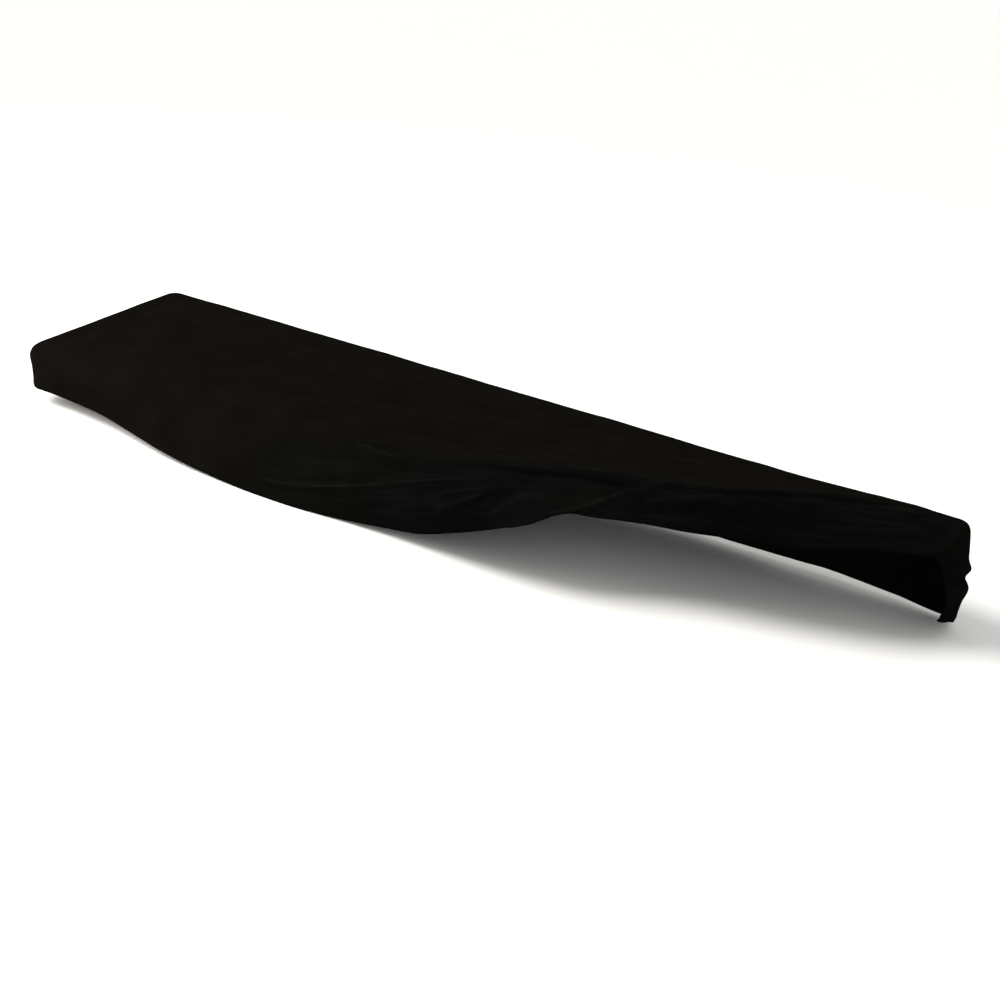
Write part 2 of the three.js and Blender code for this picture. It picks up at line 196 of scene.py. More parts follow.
# Soft folds: a ridge (rise above 0) or trough along a curve through three points of the sheet. A scratch
# program worked out the points from ones picked in the photo, here down to the lengthwise rolls, in all the
# creases and in the thin lines. The other points and values were chosen.
FOLDS = [
    #  from               via                 to                 width  rise
    # The trough below the crest, the ridge where the skirt turns up, and the knoll at its end
    ((79, -114, 97), (137, -90, 105), (192, -61, 111), 9, -1.6),
    ((165, -79, 107), (244, -42, 114), (324, -20, 115), 13, -7.0),
    ((260, -116, 93), (302, -68, 104), (330, -13, 116), 8, 1.6),
    ((324, -14, 116), (334, -3, 117), (349, 3, 118), 8, 2.2),
    # Slack drawn aslant over the brow
    ((-311, -113, 95), (-149, -117, 96), (-36, -120, 96), 10, 1.5),
    ((-243, -135, 82), (-132, -137, 81), (-33, -135, 83), 11, -1.5),
    ((-206, -90, 101), (-117, -92, 101), (-26, -95, 102), 9, -1.3),
    # The fan of the skirt
    ((94, -148, 62), (137, -133, 82), (185, -111, 96), 9, 1.6),
    ((113, -149, 59), (150, -141, 75), (175, -121, 90), 7, 1.8),
    ((190, -143, 74), (201, -129, 87), (236, -92, 104), 8, 1.6),
    ((222, -113, 96), (265, -96, 101), (294, -58, 108), 13, 3.0),
    # Lengthwise rolls of the cloth that is drawn back
    ((329, -51, 106), (362, -25, 110), (401, 17, 113), 6, 2.2),
    ((322, -73, 99), (364, -45, 105), (404, -13, 108), 8, -3.4),
    ((339, -67, 99), (445, -28, 102), (546, 20, 105), 7, 2.4),
    ((365, 3, 116), (425, 51, 117), (489, 101, 119), 5, -2.0),
    ((475, 90, 117), (531, 116, 118), (591, 126, 122), 6, -2.0),
    ((509, 31, 107), (562, 59, 110), (614, 94, 117), 8, 2.2),
    # Gathers round the back right corner
    ((641, 92, 98), (642, 137, 86), (612, 144, 80), 12, 1.0),
    ((641, 88, 86), (643, 137, 69), (600, 147, 61), 8, 5.5),
    ((642, 98, 66), (643, 137, 59), (610, 147, 52), 6, -2.5),
    ((644, 86, 54), (645, 137, 46), (596, 148, 34), 12, 5.5),
    # Upright folds of the back and left walls
    ((-520, 146, 104), (-512, 148, 56), (-500, 148, 7), 26, 4.0),
    ((-352, 146, 104), (-360, 147, 56), (-372, 147, 7), 22, -3.5),
    ((-196, 146, 104), (-210, 149, 56), (-214, 150, 9), 30, 4.5),
    ((-20, 146, 104), (-8, 147, 56), (4, 148, 8), 24, -4.0),
    ((176, 146, 104), (170, 149, 56), (150, 150, 11), 28, 5.0),
    ((322, 146, 104), (338, 147, 56), (346, 147, 6), 22, -4.0),
    ((470, 146, 106), (486, 149, 58), (506, 151, 8), 24, 6.0),
    ((-641, 70, 96), (-643, 62, 56), (-643, 52, 15), 22, 4.0),
    ((-641, -34, 82), (-643, -44, 50), (-643, -56, 18), 18, -3.0),
]
# Finer creases between the main folds, with a crisp crest and long flanks.
CREASES = [
    #  from               via                 to                 width  rise
    # The skirt: one long line, and the fan below the crest
    ((-164, -161, 25), (-62, -154, 39), (33, -147, 66), 2.5, 1.8),
    ((16, -149, 61), (93, -130, 85), (173, -100, 100), 2.5, 1.8),
    ((-36, -144, 72), (33, -137, 80), (89, -126, 89), 6, 1.4),
    ((95, -118, 93), (118, -116, 94), (141, -113, 94), 4, 1.4),
    ((73, -141, 74), (107, -130, 84), (141, -118, 92), 5, -1.8),
    ((103, -145, 69), (132, -132, 82), (179, -111, 95), 3, 2.0),
    ((108, -147, 65), (128, -141, 75), (151, -130, 84), 3, -1.6),
    ((113, -149, 61), (147, -140, 76), (170, -122, 90), 3, 2.8),
    ((136, -148, 64), (161, -139, 77), (179, -123, 90), 3, -2.0),
    ((58, -149, 56), (82, -147, 64), (96, -144, 70), 5, 1.4),
    ((191, -142, 76), (200, -131, 85), (233, -93, 104), 4, 2.0),
    ((192, -134, 83), (191, -118, 93), (200, -103, 100), 4, -2.0),
    ((214, -121, 92), (235, -103, 101), (255, -75, 108), 4, 1.2),
    ((222, -83, 107), (262, -71, 108), (293, -52, 109), 5, 2.4),
    ((-35, -119, 96), (9, -121, 95), (45, -119, 95), 4, 1.6),
    ((19, -135, 83), (58, -125, 91), (92, -111, 98), 6, -1.6),
    # Where the skirt turns up
    ((258, -119, 92), (285, -94, 98), (301, -61, 106), 3, 2.4),
    ((295, -77, 102), (310, -36, 112), (330, -5, 117), 3, 2.4),
    ((338, -1, 118), (352, 3, 118), (373, -2, 114), 4, -1.8),
    ((91, -110, 98), (144, -84, 106), (194, -55, 112), 6, -1.8),
    ((213, -27, 113), (240, -23, 115), (260, -16, 116), 4, 1.2),
    # The cloth that is drawn back
    ((328, -50, 107), (354, -29, 110), (397, 15, 114), 4, 1.8),
    ((337, -67, 99), (389, -51, 101), (444, -27, 102), 4, 1.6),
    ((429, -33, 102), (489, -10, 102), (546, 20, 105), 4, 1.6),
    ((536, 118, 119), (569, 122, 120), (607, 121, 121), 4, -1.8),
    ((457, 61, 114), (474, 72, 114), (491, 85, 115), 4, 1.8),
    ((521, 106, 116), (548, 120, 119), (580, 127, 122), 4, 2.0),
    ((414, -3, 108), (422, 13, 110), (432, 26, 111), 5, -2.2),
    ((476, 59, 112), (486, 68, 113), (501, 73, 112), 5, -2.0),
    ((485, 48, 110), (515, 55, 110), (560, 83, 112), 4, 1.8),
    ((507, 31, 107), (562, 59, 110), (616, 94, 117), 4, 1.8),
    ((543, 33, 107), (582, 60, 110), (625, 81, 115), 5, -2.0),
    ((575, 110, 117), (590, 125, 121), (608, 131, 123), 4, -1.8),
    ((427, 5, 108), (455, 18, 108), (488, 37, 109), 4, 1.6),
    ((486, 42, 110), (496, 44, 109), (508, 44, 109), 4, -1.8),
    ((333, -19, 114), (345, -11, 115), (361, -8, 114), 5, -1.8),
    ((398, 3, 111), (413, 14, 111), (426, 29, 112), 4, 1.4),
    ((442, 35, 111), (457, 46, 112), (473, 54, 112), 4, -1.4),
    # Pulls across the top
    ((-499, 47, 108), (-460, 82, 113), (-415, 120, 120), 4, -1.0),
    ((-385, 29, 107), (-348, 60, 110), (-308, 92, 115), 4, 0.8),
    ((-336, -3, 104), (-308, 18, 106), (-270, 39, 108), 4, -1.1),
    ((-483, -19, 102), (-444, 8, 105), (-402, 34, 107), 4, -0.9),
    ((-329, -83, 100), (-310, -71, 101), (-290, -65, 101), 4, -0.9),
    ((-160, -67, 101), (-92, -56, 102), (31, -56, 102), 5, -1.8),
    ((-137, -4, 104), (-107, 9, 105), (-71, 20, 106), 4, -1.1),
    ((-27, 38, 107), (19, 43, 108), (85, 45, 108), 5, -1.3),
    ((27, 11, 105), (82, 23, 106), (120, 27, 106), 5, -1.4),
    ((-1, -117, 97), (16, -111, 100), (41, -108, 101), 4, -1.2),
    ((77, -101, 102), (100, -88, 105), (130, -77, 107), 4, -1.4),
    ((113, -40, 103), (139, -26, 104), (173, -27, 108), 4, -1.6),
    ((64, -59, 102), (77, -57, 103), (88, -51, 103), 4, 1.2),
    ((-17, -59, 102), (21, -49, 102), (66, -46, 102), 5, -1.4),
    ((131, 87, 113), (171, 96, 115), (217, 97, 115), 5, -0.9),
]
# How round a crease's crest is, the steps between two points of a curve, how many widths a fold reaches,
# and the share of its way over which it fades, to what is left at its ends.
CREASE_CREST = 1.5
FOLD_STEPS = 24
FOLD_REACH = 5
FOLD_FADE = 0.22
FOLD_END = 0.15
# The most by which a fold's curve may run above or below the sheet.
FOLD_LIFT = 6.0

# Thin lines of painted highlight along a crest or of painted shade in a crease, in two sets so that
# neighbouring lines fall in different ones. Each is a curve through the points, then how pale (above 0) or
# dark it is painted.
LINES_A = [
    (
        (-164, -161, 25), (-103, -158, 30), (-62, -154, 39), (2, -150, 58), (72, -137, 80),
        (106, -125, 89), (173, -100, 100),
        0.85,
    ),
    ((113, -149, 62), (132, -146, 70), (146, -139, 77), (159, -132, 83), (169, -120, 91), 0.8),
    (
        (244, -127, 89), (271, -107, 95), (283, -91, 100), (292, -77, 103), (298, -56, 108),
        (304, -26, 114), (321, -11, 117),
        0.55,
    ),
    ((335, -65, 101), (387, -45, 103), (440, -18, 104), (484, 3, 105), (544, 26, 106), 0.75),
    ((521, 105, 116), (548, 120, 119), (580, 127, 122), 0.5),
    ((-35, -119, 96), (9, -121, 95), (45, -119, 95), 0.6),
    ((185, -62, 110), (218, -49, 113), (251, -36, 115), (285, -25, 115), -0.7),
    (
        (298, -12, 117), (315, -5, 117), (335, -5, 117), (355, 5, 118), (372, 11, 117),
        (398, 34, 118),
        -0.7,
    ),
    ((394, 30, 118), (414, 48, 118), (432, 62, 118), (459, 84, 118), -0.3),
    ((459, 84, 118), (488, 102, 119), (509, 111, 119), (527, 118, 120), (562, 128, 123), -0.7),
]
LINES_B = [
    ((103, -144, 69), (116, -139, 76), (132, -132, 83), (153, -122, 89), (178, -111, 95), 0.6),
    ((191, -142, 75), (196, -138, 80), (200, -131, 85), (212, -118, 93), (233, -94, 104), 0.28),
    ((332, -39, 109), (351, -22, 112), (374, 0, 114), (395, 20, 115), 0.45),
    ((511, 65, 111), (533, 81, 111), (558, 89, 113), (579, 96, 115), 0.5),
    ((525, 43, 108), (552, 61, 110), (587, 73, 112), 0.3),
    ((214, -29, 113), (241, -24, 115), (261, -17, 116), 0.6),
    ((151, -74, 108), (186, -53, 112), (221, -39, 114), 0.5),
]
# How far from a line its distance is worked out, and the share of its way over which it fades.
LINE_REACH = 9.0
LINE_FADE = 0.08

# The edge is turned under: a soft bead along the hem.
HEM_BEAD = {"inset": 5.0, "width": 5.0, "rise": 0.9}

# Fine pulls in the cloth: the slants at which they cross the top and the skirt, in degrees, by place.
PULL_SLANT = [
    #  x  top  skirt
    (-660, 40, 0),
    (-450, 38, 0),
    (-300, 32, 2),
    (-100, 20, 10),
    (60, 10, 20),
    (220, 10, 26),
    (400, 16, 16),
    (660, 24, 16),
]
PULL_STEP = 5.0
# Where the pulls of the top give way to those of the skirt, from the brow.
PULL_TURN = {"from": -46, "to": 4}
# Three sizes of pull. The last is the fine ruck of the cloth that is drawn back.
PULLS = [
    #  length, spacing, rise, faint share, full from, full to
    (220.0, 20.0, 0.7, 0.45, -420, 120),
    (130.0, 9.0, 0.4, 0.50, -480, 60),
    (70.0, 10.0, 1.3, 0.00, 250, 350),
]

# Where the pulls fade out towards the left end, the right end and the back wall, and the share lost there.
PULL_ENDS = ((-640, -540), (560, 625))
PULL_BACK = {"from": 128, "to": 146, "less": 0.7}

# Where the streaks fade out towards the left and the right end, and on the left part of the skirt.
CALM_ENDS = ((-612, -535), (575, 632))
CALM_SKIRT = {"from": -260, "to": -40, "share": 0.85}
# Height at which a fold's ridge takes the painted highlight fully, or its hollow the painted shade fully.
FOLD_TONE = 12.0

# Painted shade over the cloth that is drawn back and over the right end: its share in front of the crest,
# just below it and further down, and how much deeper the painted shade is there.
PAINTED_SHADE = [
    #  x  crest  hem  shade
    (-320, 0, 0, 0),
    (-80, 0.15, 0.5, 0),
    (60, 0.65, 0.9, 0.1),
    (150, 1, 1, 0.45),
    (215, 1, 0.95, 0.2),
    (290, 1, 0.85, 0),
    (340, 1, 1, 0.3),
    (420, 1, 1, 0.75),
    (520, 1, 1, 0.5),
    (620, 1, 1, 0.25),
    (646, 1, 0.9, 0.05),
]
PAINTED_SHADE_TURN = {"from": -6, "full": 6, "down": 60}
# The painted shade covers all of the right end but its shoulder, which is left out of it so that it shows
# paler, as a painted highlight.
PAINTED_SHADE_END = (540, 610)
SHOULDER = {"from": 622, "full": 640, "down_from": 6, "down_to": 22}
# Stands for a place well before the brow, on ribs that have none.
BEFORE_BROW = -1e3


def ramp(values, start, end):
    """Ease from 0 at start to 1 at end."""
    share = np.clip((values - start) / (end - start), 0, 1)
    return share * share * (3 - 2 * share)


def table_curve(rows, at):
    """Values of a table, whose first column is the place, on smooth curves between its rows."""
    rows = np.asarray(rows, float)
    places, values = rows[:, 0], rows[:, 1:]
    slopes = np.diff(values, axis=0) / np.diff(places)[:, None]
    tangents = np.vstack([slopes[:1], 0.5 * (slopes[1:] + slopes[:-1]), slopes[-1:]])
    index = np.clip(np.searchsorted(places, at, side="right") - 1, 0, len(places) - 2)
    span = (places[index + 1] - places[index])[:, None]
    t = (at - places[index])[:, None] / span
    ends = (2 * t**3 - 3 * t**2 + 1) * values[index] + (3 * t**2 - 2 * t**3) * values[index + 1]
    bends = (t**3 - 2 * t**2 + t) * tangents[index] + (t**3 - t**2) * tangents[index + 1]
    return ends + span * bends


class Cover:
    """The outside of the cover, in the tables' millimetres."""

    def __init__(self, sizes):
        self.length = sizes.length / MM
        self.depth = sizes.depth / MM
        self.front = sizes.front_height / MM
        self.rear = sizes.rear_height / MM
        self.cloth = sizes.cloth / MM
        self.roll = sizes.roll / MM
        ease = sizes.ease / MM
        self.left = -self.length / 2 - ease
        self.right = self.length / 2 + ease
        self.back = self.depth / 2 + ease

    def top_at(self, x, y):
        plane = self.front + self.cloth + (y + self.depth / 2) * (self.rear - self.front) / self.depth
        short = SHELF["height"] - plane
        shelf = 0.5 * (short + np.hypot(short, SHELF["soft"]))
        shelf = shelf * ramp(x, SHELF["left_from"], SHELF["left_full"])
        gather = ramp(x, BUNCH["x_from"], BUNCH["x_full"])
        bunch = BUNCH["rise"] * gather * ramp(y, BUNCH["y_from"], BUNCH["y_full"])
        return plane + shelf * (1 - gather) + bunch

    def on_top(self, x, y):
        return np.stack([x, y, self.top_at(x, y)], axis=-1)

    def spine(self, x):
        return self.on_top(x, SPINE["rear_at_right"] * ramp(x, SPINE["bend_from"], SPINE["bend_to"]))

    def front_ribs(self, feet, x):
        row = table_curve(SECTIONS, x)
        brow, sill, ledge, hem = (np.column_stack([x, row[:, c : c + 2]]) for c in (0, 2, 4, 6))
        inner = self.on_top(0.5 * (feet[:, 0] + x), 0.5 * (feet[:, 1] + brow[:, 1]))
        skirt = 0.5 * (ledge + hem)
        skirt[:, 1] -= RIB["skirt_full"] * np.linalg.norm(ledge - hem, axis=1)
        return np.stack([feet, inner, brow, sill, ledge, skirt, hem], axis=1)

    def wall_ribs(self, feet, edge, outward, hem, bow=0.0):
        feet = np.broadcast_to(feet, hem.shape)
        top = self.on_top(edge[:, 0], edge[:, 1])
        roll = self.roll * (1 - ROLL_EASE["less"] * ramp(edge[:, 0], ROLL_EASE["from"], ROLL_EASE["to"]))
        start = self.on_top(*(edge - roll[:, None] * np.asarray(outward)).T)
        inner = self.on_top(*(0.5 * (feet[:, :2] + start[:, :2])).T)
        drop = np.maximum(top[:, 2] - hem[:, 2], 1)
        turn = np.minimum(roll / drop, RIB["roll_most"])[:, None]
        wall = top + turn * (hem - top)
        upper = wall + RIB["upper"] * (hem - wall)
        lower = wall + RIB["lower"] * (hem - wall)
        upper[:, 1] += RIB["upper_bow"] * bow
        lower[:, 1] += bow
        lower[:, 2] -= RIB["sink"] * bow
        return np.stack([feet, inner, start, wall, upper, lower, hem], axis=1)

    def back_ribs(self, feet, x):
        height, out = table_curve(BACK_HEM, x).T
        back = self.back - DRAWN_IN["by"] * ramp(x, DRAWN_IN["from"], DRAWN_IN["to"])
        hem = np.column_stack([x, back + out, height])
        return self.wall_ribs(feet, np.column_stack([x, back]), (0, 1), hem)

    def right_ribs(self, foot):
        row = table_curve(RIGHT_END, np.linspace(0, len(RIGHT_END) - 1, RIGHT_RIBS))
        end = self.wall_ribs(foot, row[:, 0:2], (1, 0), row[:, 2:5], row[:, 5])
        near = ramp(end[:, :, 1], CORNER_WALL["from"], CORNER_WALL["full"])
        end[:, -3, 0] += CORNER_WALL["upper"] * near[:, -3]
        end[:, -2, 0] += CORNER_WALL["lower"] * near[:, -2]
        radius = CORNER["back_right"]
        edge, outward = corner(self.right - radius, self.back - DRAWN_IN["by"] - radius, radius, 0)
        edge, outward = edge[:-1], outward[:-1]
        height = np.linspace(CORNER_HEM["from"], CORNER_HEM["to"], len(edge))
        near = 1 - ramp(np.linspace(0, 1, len(edge)), CORNER_WALL["back_from"], 1)[:, None]
        out = BACK_HEM[-1][2] + near * (CORNER_WALL["hem"] - BACK_HEM[-1][2])
        bend = self.wall_ribs(foot, edge, outward, np.column_stack([edge + out * outward, height]))
        bend[:, -3, :2] += CORNER_WALL["upper"] * near * outward
        bend[:, -2, :2] += CORNER_WALL["lower"] * near * outward
        return np.concatenate([end, bend]), np.concatenate([row[:, 6], np.full(len(edge), EVEN)])

    def left_ribs(self, foot):
        back, front = CORNER["back_left"], CORNER["front_left"]
        rear_edge, rear_out = corner(self.left + back, self.back - back, back, 90)
        fore_edge, fore_out = corner(self.left + front, front - self.back, front, 180)
        y = np.linspace(self.back - back, front - self.back, LEFT_RIBS)[1:-1]
        side = np.column_stack([np.full_like(y, self.left), y])
        side_out = np.tile([-1.0, 0.0], (len(y), 1))
        edge = np.concatenate([rear_edge[1:], side, fore_edge[:-1]])
        outward = np.concatenate([rear_out[1:], side_out, fore_out[:-1]])
        height, out = table_curve(LEFT_HEM, edge[:, 1]).T
        return self.wall_ribs(foot, edge, outward, np.column_stack([edge + out[:, None] * outward, height]))

    def ribs(self):
        """Controls of all ribs in order round the cover, how evenly each is stepped, and their feet."""
        feet = self.spine(station_places())
        numbers = np.arange(len(feet))
        rear = numbers[::-2]
        spread = (SPINE["left"], 0, SPINE["right"])
        front_x = np.interp(feet[:, 0], spread, (SECTIONS[0][0], 0, SECTIONS[-1][0]))
        back_ends = (self.left + CORNER["back_left"], 0, self.right - CORNER["back_right"])
        back_x = np.interp(feet[rear, 0], spread, back_ends)
        right, right_even = self.right_ribs(feet[-1])
        left = self.left_ribs(feet[0])
        back = self.back_ribs(feet[rear], back_x)
        controls = np.concatenate([self.front_ribs(feet, front_x), right, back, left])
        even = np.full(len(controls), EVEN)
        even[len(feet) : len(feet) + len(right)] = right_even
        foot = np.concatenate([numbers, np.full(len(right), rear[0]), rear, np.full(len(left), rear[-1])])
        return controls, even, feet, foot


def station_places():
    """Places of the ribs along the spine, as close together as the folds there need."""
    x = np.linspace(SPINE["left"], SPINE["right"], SPINE_STEPS)
    rate = 1 / np.interp(x, *np.array(STATION_GAPS).T)
    count = np.concatenate([[0], (0.5 * (rate[1:] + rate[:-1]) * np.diff(x)).cumsum()])
    return np.interp(np.linspace(0, count[-1], 2 * round(count[-1] / 2) + 1), count, x)


def corner(x, y, radius, start):
    """Points round a quarter turn in plan from start degrees, and their outward directions."""
    angle = np.radians(np.linspace(start, start + 90, CORNER_RIBS))
    outward = np.column_stack([np.cos(angle), np.sin(angle)])
    return np.array([x, y]) + radius * outward, outward


def curve_points(controls, places):
    """Points of a centripetal Catmull-Rom curve for each rib, at places counted in controls."""
    first = 2 * controls[:, :1] - controls[:, 1:2]
    last = 2 * controls[:, -1:] - controls[:, -2:-1]
    padded = np.concatenate([first, controls, last], axis=1)
    index = np.clip(places.astype(int), 0, controls.shape[1] - 2)
    t = (places - index)[..., None]
    rib = np.arange(len(controls))[:, None]
    a, b, c, d = (padded[rib, index + step] for step in range(4))
    gaps = [np.sqrt(np.linalg.norm(q - p, axis=-1, keepdims=True)) for p, q in ((a, b), (b, c), (c, d))]
    ab, bc, cd = (np.maximum(gap, 1e-3) for gap in gaps)
    start = bc * ((b - a) / ab - (c - a) / (ab + bc) + (c - b) / bc)
    end = bc * ((c - b) / bc - (d - b) / (bc + cd) + (d - c) / cd)
    ends = (2 * t**3 - 3 * t**2 + 1) * b + (3 * t**2 - 2 * t**3) * c
    return ends + (t**3 - 2 * t**2 + t) * start + (t**3 - t**2) * end


def rib_points(cover, controls, even):
    """Rows of points along every rib from its foot to the hem, and how far each is from foot and brow."""
    foot, inner = controls[:, 0], controls[:, 1]
    before = cover.on_top(*(2 * foot[:, :2] - inner[:, :2]).T)
    controls = np.concatenate([before[:, None], controls], axis=1)
    steps = [np.linspace(n + 1, n + 2, count, endpoint=False) for n, count in enumerate(ROW_STEPS)]
    by_bends = np.concatenate(steps + [[len(ROW_STEPS) + 1]])
    fine = np.linspace(1, len(ROW_STEPS) + 1, TRACK_STEPS + 1)
    track = curve_points(controls, np.tile(fine, (len(controls), 1)))
    run = np.linalg.norm(np.diff(track, axis=1), axis=2).cumsum(axis=1)
    run = np.column_stack([np.zeros(len(run)), run])
    shares = np.linspace(0, 1, len(by_bends))
    by_length = np.array([np.interp(shares * along[-1], along, fine) for along in run])
    places = by_bends + even[:, None] * (by_length - by_bends)
    lengths = np.array([np.interp(place, fine, along) for place, along in zip(places, run)])
    brow = np.array([np.interp(3, fine, along) for along in run])
    return curve_points(controls, places), lengths, lengths - brow[:, None]


def soft_profile(distance, width):
    return np.exp(-((distance / width) ** 2))


def crisp_profile(distance, width):
    return np.exp((CREASE_CREST - np.hypot(distance, CREASE_CREST)) / width)


def beside_path(points, normals, controls, reach):
    """The points near a curve, their offsets from it in the sheet, its direction there and the share of it
    that is passed."""
    count = FOLD_STEPS * (len(controls) - 1)
    places = np.linspace(0, len(controls) - 1, count + 1)
    path = curve_points(np.array([controls], float), places[None])[0]
    near = np.all((points > path.min(axis=0) - reach) & (points < path.max(axis=0) + reach), axis=1)
    near = np.flatnonzero(near)
    start, step = path[:-1], np.diff(path, axis=0)
    offset = points[near][:, None] - start
    share = np.clip((offset * step).sum(axis=2) / (step * step).sum(axis=1), 0, 1)
    offset -= share[..., None] * step
    closest = (offset * offset).sum(axis=2).argmin(axis=1)
    rows = np.arange(len(near))
    along = (closest + share[rows, closest]) / count
    offset, normal = offset[rows, closest], normals[near]
    lift = np.clip((offset * normal).sum(axis=1), -FOLD_LIFT, FOLD_LIFT)
    return near, offset - lift[:, None] * normal, step[closest], along


def fade_out(along, share):
    """Ease in and out over a share of the way at both ends."""
    return ramp(np.minimum(along, 1 - along), 0, share)


def fold_heights(points, normals, folds, profile):
    """How far the folds push each point of the sheet outwards."""
    heights = np.zeros(len(points))
    for *controls, width, rise in folds:
        near, offset, _, along = beside_path(points, normals, controls, FOLD_REACH * width)
        strength = FOLD_END + (1 - FOLD_END) * fade_out(along, FOLD_FADE)
        heights[near] += rise * strength * profile(np.linalg.norm(offset, axis=1), width)
    return heights


def line_places(points, normals, lines):
    """Each point's distance from the nearest line, below 0 on one side of it, and how clearly it shows."""
    distance = np.full(len(points), LINE_REACH)
    shown = np.zeros(len(points))
    for *controls, strength in lines:
        near, offset, step, along = beside_path(points, normals, controls, LINE_REACH)
        far = np.linalg.norm(offset, axis=1)
        side = np.sign((np.cross(step, normals[near]) * offset).sum(axis=1))
        closer = far < np.abs(distance[near])
        near = near[closer]
        distance[near] = (far * side)[closer]
        fade = fade_out(along, LINE_FADE) * (1 - ramp(far, 0.5 * LINE_REACH, LINE_REACH))
        shown[near] = (strength * fade)[closer]
    return distance, shown


def pull_places(flat, column):
    """Places of the flat cloth, counted along and across the pulls of the top (0) or the skirt (1)."""
    x = np.arange(PULL_SLANT[0][0], PULL_SLANT[-1][0] + PULL_STEP, PULL_STEP)
    slope = np.tan(np.radians(table_curve(PULL_SLANT, x)[:, column]))
    drift = np.concatenate([[0], (0.5 * (slope[1:] + slope[:-1]) * PULL_STEP).cumsum()])
    return np.column_stack([flat[:, 0], flat[:, 1] - np.interp(flat[:, 0], x, drift)])


def pull_heights(flat, pulls):
    """Fine uneven pulls, stronger towards the part that is drawn back."""
    heights = np.zeros(len(flat))
    for length, spacing, rise, faint, full_from, full_to in PULLS:
        wave = [noise.noise(Vector((u / length, v / spacing, length))) for u, v in pulls]
        heights += rise * np.array(wave) * (faint + (1 - faint) * ramp(flat[:, 0], full_from, full_to))
    return heights


def pull_share(points):
    """Share of the pulls that is left at the ends and on the back wall, where the cloth hangs slack."""
    ends = ramp(points[:, 0], *PULL_ENDS[0]) * (1 - ramp(points[:, 0], *PULL_ENDS[1]))
    return ends * (1 - PULL_BACK["less"] * ramp(points[:, 1], PULL_BACK["from"], PULL_BACK["to"]))


def nap_lie(x, past_front, past_any):
    """Share of the painted shade and how deep it is painted, by the distance past the brow."""
    places, crest, hem, shade = np.array(PAINTED_SHADE).T
    down = ramp(past_front, 0, PAINTED_SHADE_TURN["down"])
    lie = (1 - down) * np.interp(x, places, crest) + down * np.interp(x, places, hem)
    lie = lie * ramp(past_front, PAINTED_SHADE_TURN["from"], PAINTED_SHADE_TURN["full"])
    lie = np.maximum(lie, ramp(x, *PAINTED_SHADE_END))
    shoulder = 1 - ramp(past_any, SHOULDER["down_from"], SHOULDER["down_to"])
    lie = lie * (1 - shoulder * ramp(x, SHOULDER["from"], SHOULDER["full"]))
    return lie, down**2 * np.interp(x, places, shade)


def face_grid(ribs, rows, feet, foot):
    """Faces of the skin. The feet come first, then each rib's points from the spine to the hem."""
    faces = []
    for rib in range(ribs):
        after = (rib + 1) % ribs
        here, there = feet + rib * rows, feet + after * rows
        first, last = int(foot[rib]), int(foot[after])
        if first == last:
            faces.append((first, here, there))
        elif abs(first - last) == 1:
            faces.append((first, here, there, last))
        else:
            middle = (first + last) // 2
            faces.extend([(first, here, middle), (here, there, middle), (there, last, middle)])
        faces.extend((here + row, here + row + 1, there + row + 1, there + row) for row in range(rows - 1))
    return faces


def point_normals(points, faces):
    """Smooth normals at the points of the skin."""
    quads = np.array([face if len(face) == 4 else (*face, face[-1]) for face in faces])
    corners = points[quads]
    across = np.cross(corners[:, 2] - corners[:, 0], corners[:, 3] - corners[:, 1])
    normals = np.zeros_like(points)
    for column in range(4):
        np.add.at(normals, quads[:, column], across)
    return normals / np.maximum(np.linalg.norm(normals, axis=1, keepdims=True), 1e-9)


def runs_behind(controls):
    """Marks the ribs that run to the back or to the left end."""
    reach = controls[:, 2] - controls[:, 0]
    return (reach[:, 1] > 0) | (controls[:, 2, 0] < SPINE["left"])


